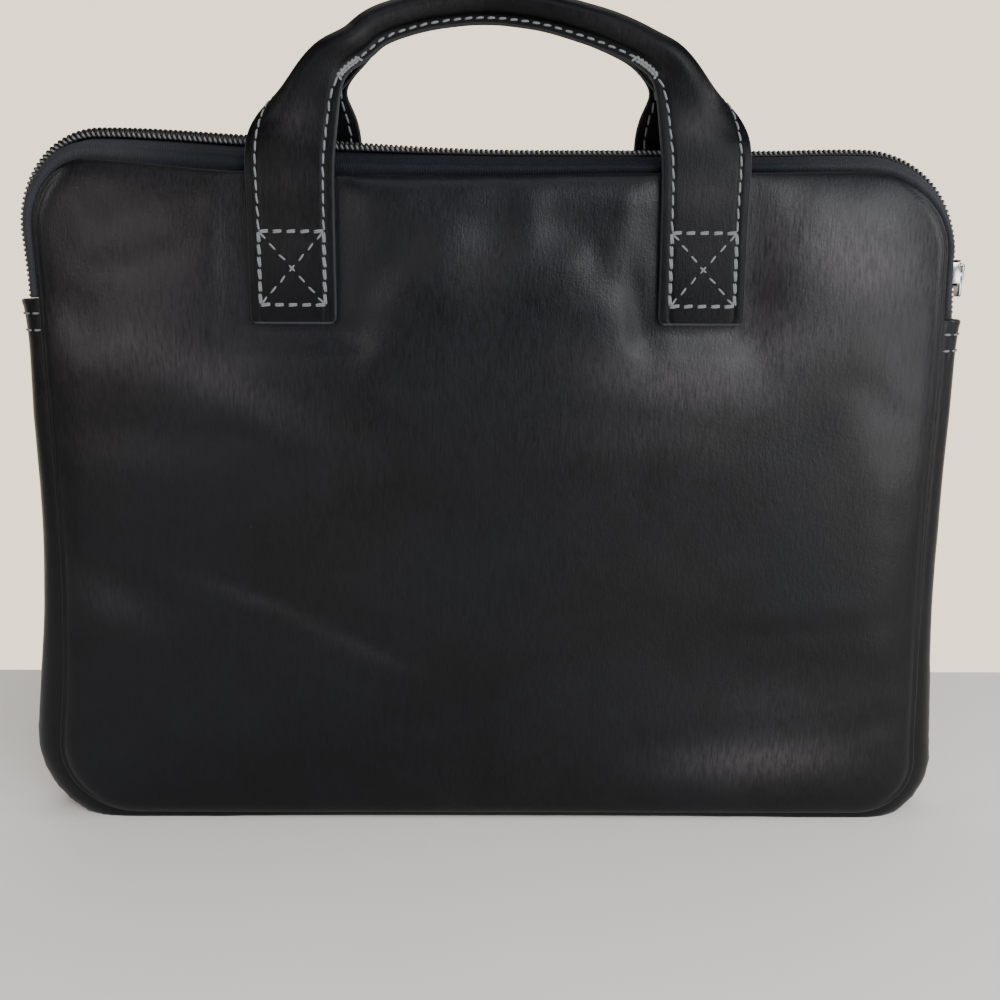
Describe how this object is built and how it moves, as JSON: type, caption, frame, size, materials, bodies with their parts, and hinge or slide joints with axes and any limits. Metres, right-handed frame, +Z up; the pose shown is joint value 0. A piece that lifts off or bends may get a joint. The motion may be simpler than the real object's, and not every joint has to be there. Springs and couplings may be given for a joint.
{
  "type": "leather laptop case",
  "caption": "Slim leather laptop case that stands upright, with a zip round its top, an arched gusset and rolled carrying handles on both panels.",
  "frame": {"origin": "on the surface that the case stands on, under the middle of the whole case", "axes": "+X along the width to the viewer's right of the front panel, -Y the front, +Z up"},
  "size_m": [0.3892, 0.0438, 0.342],
  "materials": {
    "case_leather": "smooth black leather with a soft sheen and a fine grain",
    "handle_leather": "smooth black leather, lightly creased",
    "zip_tape": "blue-black woven tape",
    "zip_coil": "black nylon coil",
    "zip_metal": "polished"
  },
  "bodies": {
    "case": {"front_panel": "case_leather", "back_panel": "case_leather", "gusset": "case_leather", "zip_tape_front": "zip_tape", "zip_tape_back": "zip_tape", "zip_coil": "zip_coil", "handle_front": "handle_leather", "handle_back": "handle_leather", "zip_slider": "zip_metal"},
    "pull": {"zip_pull": "zip_metal"}
  },
  "joints": [
    {"name": "pull_swing", "type": "hinge", "parent": "case", "child": "pull", "pos_m": [0.19262, 0, 0.2321], "axis": [0, -1, 0], "range_deg": [0, 170]}
  ]
}
